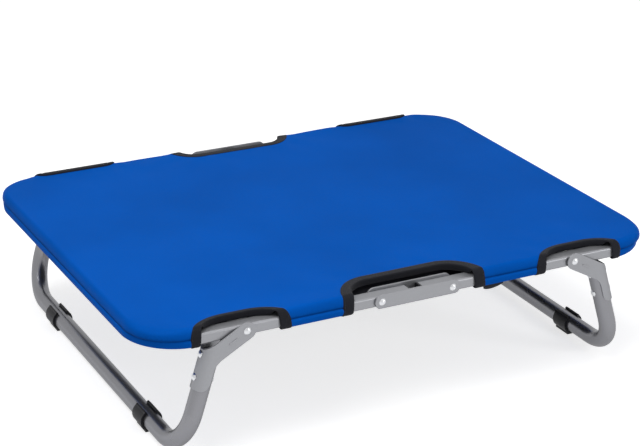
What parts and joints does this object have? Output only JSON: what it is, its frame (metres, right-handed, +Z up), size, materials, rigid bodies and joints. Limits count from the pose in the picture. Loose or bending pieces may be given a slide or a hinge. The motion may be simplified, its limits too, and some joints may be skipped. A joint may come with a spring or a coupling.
{
  "type": "folding raised pet cot",
  "caption": "Folding raised pet cot: padded fabric bed on a flat tubular steel frame, hinged at mid length by channel links, with fold-under U-shaped tube legs and clip-on feet.",
  "frame": {"origin": "on the floor under the middle of the bed", "axes": "+X along the length to the right, +Y across the width to the back, +Z up"},
  "size_m": [0.61, 0.4788, 0.15],
  "materials": {
    "painted_steel": "silver-grey satin paint",
    "zinc": "bright zinc plate",
    "black_plastic": "fine matte moulding",
    "white_nylon": "natural nylon",
    "blue_fabric": "royal blue coated polyester weave, lightly padded",
    "black_tape": "black woven binding tape"
  },
  "bodies": {
    "hinge": {"hinge_link_front": "painted_steel", "hinge_link_back": "painted_steel", "hinge_rivets": "zinc", "cover_middle": "blue_fabric", "centre_binding_middle": "black_tape"},
    "half_left": {"frame_left": "painted_steel", "rail_plugs_left": "black_plastic", "pivot_rivets_left": "zinc", "pivot_washers_left": "white_nylon", "cover_left": "blue_fabric", "leg_binding_left": "black_tape", "centre_binding_left": "black_tape"},
    "half_right": {"frame_right": "painted_steel", "rail_plugs_right": "black_plastic", "pivot_rivets_right": "zinc", "pivot_washers_right": "white_nylon", "cover_right": "blue_fabric", "leg_binding_right": "black_tape", "centre_binding_right": "black_tape"},
    "leg_left": {"leg_tube_left": "painted_steel", "leg_bracket_left_front": "painted_steel", "leg_bracket_left_back": "painted_steel", "bracket_rivets_left": "zinc", "foot_left_front": "black_plastic", "foot_left_back": "black_plastic"},
    "leg_right": {"leg_tube_right": "painted_steel", "leg_bracket_right_front": "painted_steel", "leg_bracket_right_back": "painted_steel", "bracket_rivets_right": "zinc", "foot_right_front": "black_plastic", "foot_right_back": "black_plastic"}
  },
  "joints": [
    {"name": "fold_left", "type": "hinge", "parent": "hinge", "child": "half_left", "pos_m": [-0.042, 0, 0.1393], "axis": [0, -1, 0], "range_deg": [0, 60]},
    {"name": "fold_right", "type": "hinge", "parent": "hinge", "child": "half_right", "pos_m": [0.042, 0, 0.1393], "axis": [0, 1, 0], "range_deg": [0, 60]},
    {"name": "leg_left_fold", "type": "hinge", "parent": "half_left", "child": "leg_left", "pos_m": [-0.1946, 0, 0.1393], "axis": [0, -1, 0], "range_deg": [0, 106]},
    {"name": "leg_right_fold", "type": "hinge", "parent": "half_right", "child": "leg_right", "pos_m": [0.1946, 0, 0.1393], "axis": [0, 1, 0], "range_deg": [0, 106]}
  ]
}
